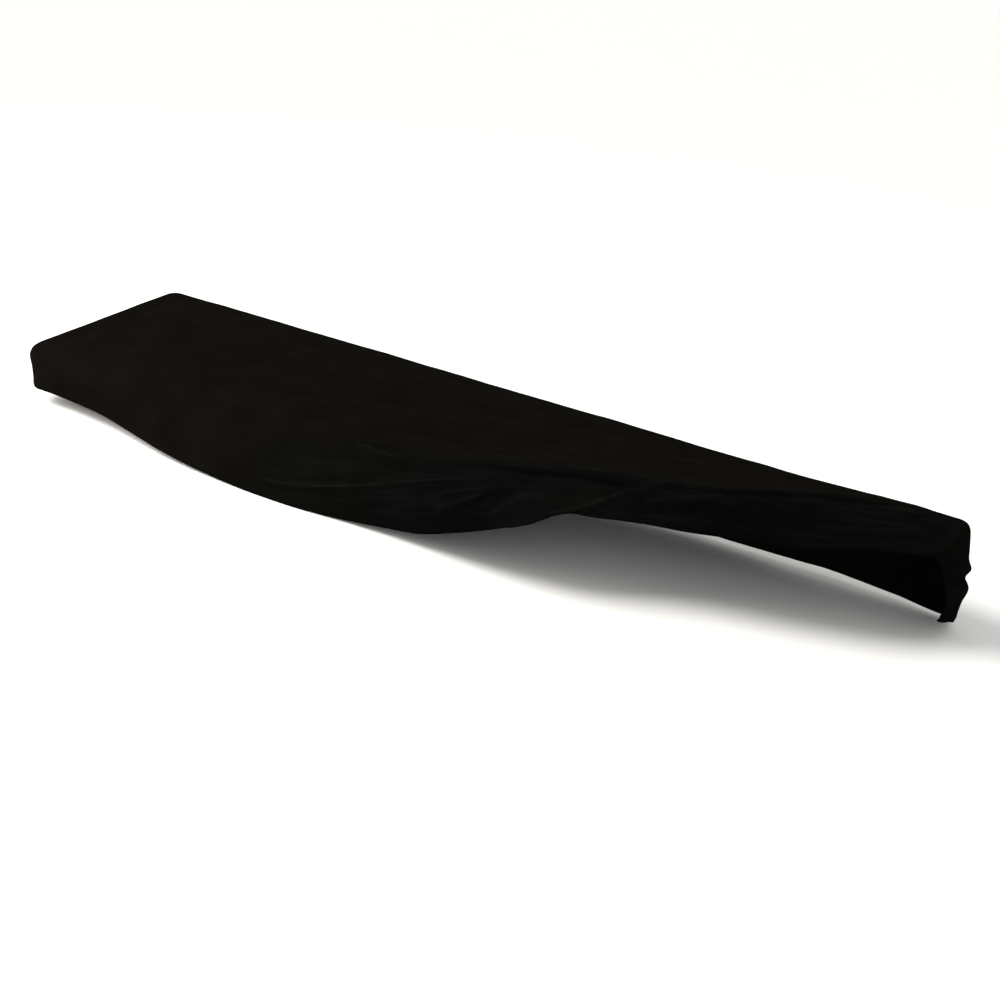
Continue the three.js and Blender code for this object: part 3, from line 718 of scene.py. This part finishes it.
def cover_skin(sizes):
    """Points and faces of the cover's outside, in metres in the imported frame, and its material's values."""
    cover = Cover(sizes)
    controls, even, feet, foot = cover.ribs()
    grid, lengths, past_brow = rib_points(cover, controls, even)
    rows = grid.shape[1] - 1
    points = np.concatenate([feet, grid[:, 1:].reshape(-1, 3)])
    ahead = controls[:, 1, :2] - controls[:, 0, :2]
    ahead /= np.linalg.norm(ahead, axis=1, keepdims=True)
    flat = controls[:, :1, :2] + lengths[:, 1:, None] * ahead[:, None]
    flat = np.concatenate([feet[:, :2], flat.reshape(-1, 2)])
    from_hem = (lengths[:, -1:] - lengths[:, 1:]).ravel()
    from_hem = np.concatenate([np.full(len(feet), from_hem.max()), from_hem])
    faces = face_grid(len(controls), rows, len(feet), foot)
    at_feet = np.full(len(feet), BEFORE_BROW)
    past_any = np.concatenate([at_feet, past_brow[:, 1:].ravel()])
    past_brow[runs_behind(controls)] = BEFORE_BROW
    past = np.concatenate([at_feet, past_brow[:, 1:].ravel()])
    on_skirt = ramp(past, PULL_TURN["from"], PULL_TURN["to"])
    top_pulls, skirt_pulls = pull_places(flat, 0), pull_places(flat, 1)
    pulled = pull_heights(flat, top_pulls) * (1 - on_skirt) + pull_heights(flat, skirt_pulls) * on_skirt
    normals = point_normals(points, faces)
    rise = fold_heights(points, normals, FOLDS, soft_profile)
    rise += fold_heights(points, normals, CREASES, crisp_profile)
    rise += sizes.pull_strength * pulled * pull_share(points)
    bead = (from_hem - HEM_BEAD["inset"]) / HEM_BEAD["width"]
    rise += HEM_BEAD["rise"] * np.exp(-(bead**2))
    flat_skin = points
    points = points + rise[:, None] * normals
    calm = np.maximum(ramp(points[:, 0], *CALM_ENDS[1]), 1 - ramp(points[:, 0], *CALM_ENDS[0]))
    slack = 1 - ramp(points[:, 0], CALM_SKIRT["from"], CALM_SKIRT["to"])
    calm = np.maximum(calm, CALM_SKIRT["share"] * slack * on_skirt)
    # The share of painted shade and how deep it is, by place.
    shade_share, shade = nap_lie(points[:, 0], past, past_any)
    # The fold height in skirt_pull's third part sets the painted highlight and the painted shade.
    looks = {
        "top_pull": np.column_stack([top_pulls * MM, on_skirt]),
        "skirt_pull": np.column_stack([skirt_pulls * MM, rise / FOLD_TONE]),
        "lie": np.column_stack([shade_share, calm, shade]),
    }
    for name, lines in (("line_a", LINES_A), ("line_b", LINES_B)):
        distance, shown = line_places(flat_skin, normals, lines)
        looks[name] = np.column_stack([distance * MM, shown, np.zeros(len(points))])
    return (points - ORIGIN) * MM, faces, looks


def add_node(tree, kind, values=(), **settings):
    """Add a shader node, set its settings, and set or link its inputs. A node among the values stands for
    its first output."""
    node = tree.nodes.new(kind)
    for name, value in settings.items():
        setattr(node, name, value)
    for socket, value in dict(values).items():
        if isinstance(value, bpy.types.Node):
            value = value.outputs[0]
        if isinstance(value, bpy.types.NodeSocket):
            tree.links.new(value, node.inputs[socket])
        else:
            node.inputs[socket].default_value = value
    return node


def new_material(name):
    material = bpy.data.materials.new(name)
    material.use_nodes = True
    material.node_tree.nodes.clear()
    return material, material.node_tree


def velour_material(finish):
    """Black stretch velour: a short dense knitted pile.

    It takes in nearly all light that falls straight on it, and the tips of the pile scatter some
    at grazing angles, so folds and edges show as soft paler lines. Its nap lies a little unevenly.
    Painted highlights along crests, painted shade in creases and painted shade over the cloth that is drawn
    back are also laid into its colour.
    """
    material, tree = new_material("stretch_velour_black")
    looks, parts = {}, {}
    for name in ("top_pull", "skirt_pull", "lie", "line_a", "line_b"):
        look = add_node(tree, "ShaderNodeAttribute", attribute_name=name)
        looks[name] = look.outputs["Vector"]
        parts[name] = add_node(tree, "ShaderNodeSeparateXYZ", {"Vector": looks[name]}).outputs
    # This look holds the share of painted shade, the calm of the streaks, and how deep the painted shade is.
    lie = parts["lie"]
    place = add_node(tree, "ShaderNodeTexCoord")
    # Drawn threads: streaks about 120 mm long and 8 mm apart, along the pulls of top and skirt.
    streaks = []
    for name in ("top_pull", "skirt_pull"):
        drawn = add_node(tree, "ShaderNodeMapping", {"Vector": looks[name], "Scale": (8, 130, 0)})
        noisy = {"Vector": drawn, "Scale": 1.0, "Detail": 2.0}
        streaks.append(add_node(tree, "ShaderNodeTexNoise", noisy))
    on_skirt = parts["top_pull"]["Z"]
    streak = add_node(tree, "ShaderNodeMix", {"Factor": on_skirt, 2: streaks[0], 3: streaks[1]})
    # The calm in the look's second part, where the streaks fade out, is no shade.
    streak = add_node(tree, "ShaderNodeMix", {"Factor": lie["Y"], 2: streak, 3: 0.5})
    # Painted highlight and painted shade: paler on ridges and darker in hollows, with uneven lines about 2 mm
    # wide along the sharpest of them.
    crests = []
    for name in ("line_a", "line_b"):
        off = add_node(tree, "ShaderNodeMath", {0: parts[name]["X"]}, operation="ABSOLUTE")
        thin = add_node(
            tree,
            "ShaderNodeMapRange",
            {"Value": off, "From Max": 0.0022, "To Min": 1.0, "To Max": 0.0},
            interpolation_type="SMOOTHSTEP",
        )
        crests.append(add_node(tree, "ShaderNodeMath", {0: thin, 1: parts[name]["Y"]}, operation="MULTIPLY"))
    crest = add_node(tree, "ShaderNodeMath", {0: crests[0], 1: crests[1]}, operation="ADD")
    broken = add_node(
        tree,
        "ShaderNodeMapRange",
        {"Value": streak, "From Min": 0.36, "From Max": 0.6, "To Min": 0.5, "To Max": 1.1},
    )
    relief = parts["skirt_pull"]["Z"]
    crest = add_node(tree, "ShaderNodeMath", {0: crest, 1: broken, 2: relief}, operation="MULTIPLY_ADD")
    pale = add_node(tree, "ShaderNodeMapRange", {"Value": crest})
    dark = add_node(tree, "ShaderNodeMapRange", {"Value": crest, "From Max": -1.0})
    # Brushed nap: soft patches about 60 mm across, where the pile lies a little over.
    patch = add_node(
        tree, "ShaderNodeTexNoise", {"Vector": place.outputs["Object"], "Scale": 16.0, "Detail": 2.0}
    )
    # Pile tips: drawn 2.5 mm across, coarser than the real pile, so that they show in the render.
    pile = add_node(
        tree, "ShaderNodeTexNoise", {"Vector": place.outputs["Object"], "Scale": 400.0, "Detail": 2.0}
    )
    both = add_node(tree, "ShaderNodeMath", {0: streak, 1: patch}, operation="MULTIPLY")
    spread = add_node(tree, "ShaderNodeMapRange", {"Value": both, "From Min": 0.13, "From Max": 0.37})
    deep = add_node(tree, "ShaderNodeMath", {0: dark, 1: lie["Z"]}, operation="MAXIMUM")
    # The pile's colour and its painted shade over the cloth that is drawn back, then the painted highlight
    # on crests and a near-black painted shade in creases and low on the drawn-back cloth.
    tones = []
    for shade, tip in ((finish.pile_shade, finish.pile_tip), (finish.pile_painted_shade_dark, finish.pile_painted_shade_pale)):
        ends = {"Factor": spread, 6: (*shade, 1), 7: (*tip, 1)}
        tones.append(add_node(tree, "ShaderNodeMix", ends, data_type="RGBA").outputs[2])
    colour = tones[0]
    for share, over in (
        (lie["X"], tones[1]),
        (pale, (*finish.pile_painted_highlight, 1)),
        (deep, (*finish.pile_painted_deep_shade, 1)),
    ):
        blend = add_node(tree, "ShaderNodeMix", {"Factor": share, 6: colour, 7: over}, data_type="RGBA")
        colour = blend.outputs[2]
    rough = add_node(tree, "ShaderNodeMapRange", {"Value": patch, "To Min": 0.8, "To Max": 0.95})
    soft = add_node(tree, "ShaderNodeBump", {"Height": streak, "Strength": 0.5, "Distance": 0.0012})
    bump = add_node(
        tree, "ShaderNodeBump", {"Height": pile, "Strength": 0.3, "Distance": 0.0005, "Normal": soft}
    )
    shader = add_node(
        tree,
        "ShaderNodeBsdfPrincipled",
        {
            "Base Color": colour,
            "Roughness": rough,
            "Normal": bump,
            "Specular IOR Level": 0.0,
            "Sheen Weight": finish.sheen,
            "Sheen Roughness": 0.9,
            "Sheen Tint": (*finish.sheen_tint, 1),
        },
    )
    add_node(tree, "ShaderNodeOutputMaterial", {"Surface": shader})
    return material


def floor_material(colour):
    """Matt white paper sweep: an even pale surface with no gloss."""
    material, tree = new_material("paper_sweep_white")
    place = add_node(tree, "ShaderNodeTexCoord")
    fibre = add_node(
        tree, "ShaderNodeTexNoise", {"Vector": place.outputs["Object"], "Scale": 3.0, "Detail": 2.0}
    )
    shade = tuple(0.985 * channel for channel in colour)
    ends = {"Factor": fibre, 6: (*shade, 1), 7: (*colour, 1)}
    tone = add_node(tree, "ShaderNodeMix", ends, data_type="RGBA")
    shader = add_node(
        tree,
        "ShaderNodeBsdfPrincipled",
        {"Base Color": tone.outputs[2], "Roughness": 0.9, "Specular IOR Level": 0.1},
    )
    add_node(tree, "ShaderNodeOutputMaterial", {"Surface": shader})
    return material


class CoverSizes(bpy.types.PropertyGroup):
    length: FloatProperty(
        name="Length", description="Length of the space that the cover fits", default=1.278, unit="LENGTH"
    )
    depth: FloatProperty(
        name="Depth", description="Depth of the space that the cover fits", default=0.287, unit="LENGTH"
    )
    front_height: FloatProperty(
        name="Front height", description="Height of the top at the front", default=0.078, unit="LENGTH"
    )
    rear_height: FloatProperty(
        name="Rear height", description="Height of the top at the back", default=0.118, unit="LENGTH"
    )
    cloth: FloatProperty(
        name="Cloth", description="Thickness of the cloth with its pile", default=0.002, unit="LENGTH"
    )
    ease: FloatProperty(
        name="Ease", description="How far the ends and back stand off", default=0.002, unit="LENGTH"
    )
    roll: FloatProperty(
        name="Roll", description="Radius where the top turns down", default=0.009, unit="LENGTH"
    )
    pull_strength: FloatProperty(
        name="Pulls", description="How strongly the fine pulls show", default=1.0, subtype="FACTOR"
    )


class CoverFinish(bpy.types.PropertyGroup):
    pile_shade: FloatVectorProperty(
        name="Pile, dark", description="Pile seen end on", default=linear("080705"), subtype="COLOR"
    )
    pile_tip: FloatVectorProperty(
        name="Pile, pale", description="Pile lying over", default=linear("0C0B09"), subtype="COLOR"
    )
    # Painted shade: the pile's colour over the cloth that is drawn back and over the right end.
    pile_painted_shade_dark: FloatVectorProperty(
        name="Pile, against", description="Pile against the light", default=linear("030404"), subtype="COLOR"
    )
    # Paler streaks within that painted shade.
    pile_painted_shade_pale: FloatVectorProperty(
        name="Pile, ruffled",
        description="Paler streaks of the pile against the light",
        default=linear("080909"),
        subtype="COLOR",
    )
    # Painted highlight along crests.
    pile_painted_highlight: FloatVectorProperty(
        name="Pile, parted", description="Pile along crests", default=linear("100F0D"), subtype="COLOR"
    )
    # Painted shade in creases and low on the cloth that is drawn back.
    pile_painted_deep_shade: FloatVectorProperty(
        name="Pile, closed", description="Pile in creases", default=linear("020202"), subtype="COLOR"
    )
    sheen: FloatProperty(
        name="Sheen", description="Light scattered by the pile's tips", default=0.0025, subtype="FACTOR"
    )
    sheen_tint: FloatVectorProperty(
        name="Sheen tint", description="Colour of the sheen", default=linear("D8CCC2"), subtype="COLOR"
    )


class StageLook(bpy.types.PropertyGroup):
    floor_colour: FloatVectorProperty(
        name="Floor", description="Colour of the floor", default=linear("F8F8F6"), subtype="COLOR"
    )
    sky: FloatProperty(
        name="Surround", description="Strength of the even light from overhead", default=0.38
    )
    key: FloatProperty(
        name="Key light", description="Strength of the broad light from the upper left", default=2.65
    )
    side: FloatProperty(
        name="Side light", description="Power of the light near the left end", default=42.0, subtype="POWER"
    )
    fill: FloatProperty(
        name="Fill light", description="Power of the soft light in front", default=5.0, subtype="POWER"
    )
    rear: FloatProperty(
        name="Rear light", description="Power of the low soft light behind", default=18.0, subtype="POWER"
    )
    lens: FloatProperty(
        name="Lens", description="Focal length of the camera, in millimetres", default=47.034
    )


class OBJECT_OT_cover_cloth(bpy.types.Operator):
    """Make the cover as one thin sheet of velour with its folds"""

    bl_idname = "dust_cover.cloth"
    bl_label = "Cover cloth"

    def execute(self, context):
        sizes = context.scene.dust_cover_sizes
        points, faces, looks = cover_skin(sizes)
        mesh = bpy.data.meshes.new("velour_cover")
        mesh.from_pydata(points.tolist(), [], faces)
        for name, values in looks.items():
            mesh.attributes.new(name, "FLOAT_VECTOR", "POINT").data.foreach_set("vector", values.ravel())
        piece = bpy.data.objects.new("velour_cover", mesh)
        context.collection.objects.link(piece)
        bpy.ops.object.select_all(action="DESELECT")
        piece.select_set(True)
        context.view_layer.objects.active = piece
        bpy.ops.object.shade_smooth()
        wall = piece.modifiers.new("Cloth thickness", "SOLIDIFY")
        wall.thickness = sizes.cloth
        wall.offset = -1
        bpy.ops.object.modifier_apply(modifier=wall.name)
        mesh.materials.append(velour_material(context.scene.dust_cover_finish))
        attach(piece, "root")
        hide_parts("cover_cloth")
        return {"FINISHED"}


class OBJECT_OT_cover_stage(bpy.types.Operator):
    """Make the floor, the soft studio light and the camera"""

    bl_idname = "dust_cover.stage"
    bl_label = "Stage"

    def execute(self, context):
        look = context.scene.dust_cover_stage
        context.scene.view_settings.view_transform = "Standard"
        add_floor(context, look)
        add_light(context, look)
        add_camera(context, look)
        return {"FINISHED"}


# The floor's width, and the gap below the hem that keeps the two apart, in metres.
FLOOR_SIZE = 400
FLOOR_GAP = 0.0003


def add_floor(context, look):
    """A wide floor that the lowest part of the hem just meets."""
    bpy.ops.object.select_all(action="DESELECT")
    bpy.ops.mesh.primitive_plane_add(size=FLOOR_SIZE)
    floor = context.object
    floor.name = "floor"
    low = min(corner[2] for corner in CAD_BOX)
    floor.data.transform(Matrix.Translation((0, 0, low - FLOOR_GAP)))
    floor.data.materials.append(floor_material(look.floor_colour))


def add_light(context, look):
    """A pale surround that is white at the horizon, a broad key light, and soft lights round it."""
    world = bpy.data.worlds.new("pale_surround")
    world.use_nodes = True
    tree = world.node_tree
    tree.nodes.clear()
    place = add_node(tree, "ShaderNodeTexCoord")
    height = add_node(tree, "ShaderNodeSeparateXYZ", {"Vector": place.outputs["Generated"]})
    strength = {"From Min": 0.25, "From Max": 0.75, "To Min": 1.0, "To Max": look.sky}
    fall = add_node(tree, "ShaderNodeMapRange", {"Value": height.outputs["Z"], **strength})
    sky = add_node(tree, "ShaderNodeBackground", {"Color": (*linear("FDFDFC"), 1), "Strength": fall})
    add_node(tree, "ShaderNodeOutputWorld", {"Surface": sky})
    context.scene.world = world
    key = bpy.data.lights.new("key_light", "SUN")
    key.energy = look.key
    key.angle = math.radians(28)
    key.color = linear("FFFDFA")
    add_lamp(context, key, (-1.75, -0.75, 1.62), (0, 0, 0))
    for name, power, wide, high, colour, place, target in (
        ("side_light", look.side, 1.4, 1.4, "FFFAF2", (-1.6, -0.9, 0.8), (-0.6, -0.1, 0)),
        ("fill_light", look.fill, 1.6, 1.6, "F6FAFF", (1.3, -1.9, 0.7), (0.25, -0.1, 0)),
        ("rear_light", look.rear, 1.8, 0.5, "FFFDFA", (0.1, 1.9, 0.4), (0, 0.1, -0.05)),
    ):
        light = bpy.data.lights.new(name, "AREA")
        light.shape = "RECTANGLE"
        light.size = wide
        light.size_y = high
        light.energy = power
        light.color = linear(colour)
        add_lamp(context, light, place, target)


def add_lamp(context, light, place, target):
    lamp = bpy.data.objects.new(light.name, light)
    lamp.location = place
    aim = Vector(target) - lamp.location
    lamp.rotation_euler = aim.to_track_quat("-Z", "Y").to_euler()
    lamp.visible_camera = False
    context.collection.objects.link(lamp)


# The camera: its place, and the turns of its view.
CAMERA_PLACE = (0.9296, -1.3300, 0.5489)
CAMERA_YAW = math.radians(32.908)
CAMERA_PITCH = math.radians(22.595)
CAMERA_ROLL = math.radians(5.199)


def add_camera(context, look):
    """A camera over the front right corner, looking down along the cover."""
    level = math.cos(CAMERA_PITCH)
    ahead = Vector((-math.sin(CAMERA_YAW) * level, math.cos(CAMERA_YAW) * level, -math.sin(CAMERA_PITCH)))
    right = ahead.cross(Vector((0, 0, 1))).normalized()
    up = right.cross(ahead)
    cosine, sine = math.cos(CAMERA_ROLL), math.sin(CAMERA_ROLL)
    turned = Matrix((cosine * right + sine * up, cosine * up - sine * right, -ahead)).transposed()
    data = bpy.data.cameras.new("camera")
    data.lens = look.lens
    data.sensor_width = 36
    data.clip_end = 1000
    camera = bpy.data.objects.new("camera", data)
    camera.matrix_world = Matrix.Translation(CAMERA_PLACE) @ turned.to_4x4()
    context.collection.objects.link(camera)
    context.scene.camera = camera


class VIEW3D_PT_dust_cover(bpy.types.Panel):
    """Sizes, finish and stage of the cover"""

    bl_label = "Dust Cover"
    bl_space_type = "VIEW_3D"
    bl_region_type = "UI"
    bl_category = "Dust Cover"

    def draw(self, context):
        for group in (
            context.scene.dust_cover_sizes,
            context.scene.dust_cover_finish,
            context.scene.dust_cover_stage,
        ):
            for name in group.bl_rna.properties.keys():
                if name not in ("rna_type", "name"):
                    self.layout.prop(group, name)
        self.layout.operator("dust_cover.cloth")
        self.layout.operator("dust_cover.stage")


CLASSES = (
    CoverSizes,
    CoverFinish,
    StageLook,
    OBJECT_OT_cover_cloth,
    OBJECT_OT_cover_stage,
    VIEW3D_PT_dust_cover,
)


def register():
    for cls in CLASSES:
        bpy.utils.register_class(cls)
    bpy.types.Scene.dust_cover_sizes = PointerProperty(type=CoverSizes)
    bpy.types.Scene.dust_cover_finish = PointerProperty(type=CoverFinish)
    bpy.types.Scene.dust_cover_stage = PointerProperty(type=StageLook)


def unregister():
    del bpy.types.Scene.dust_cover_stage
    del bpy.types.Scene.dust_cover_finish
    del bpy.types.Scene.dust_cover_sizes
    for cls in reversed(CLASSES):
        bpy.utils.unregister_class(cls)


def main():
    register()
    bpy.ops.dust_cover.cloth()
    bpy.ops.dust_cover.stage()


if __name__ == "__main__":
    main()
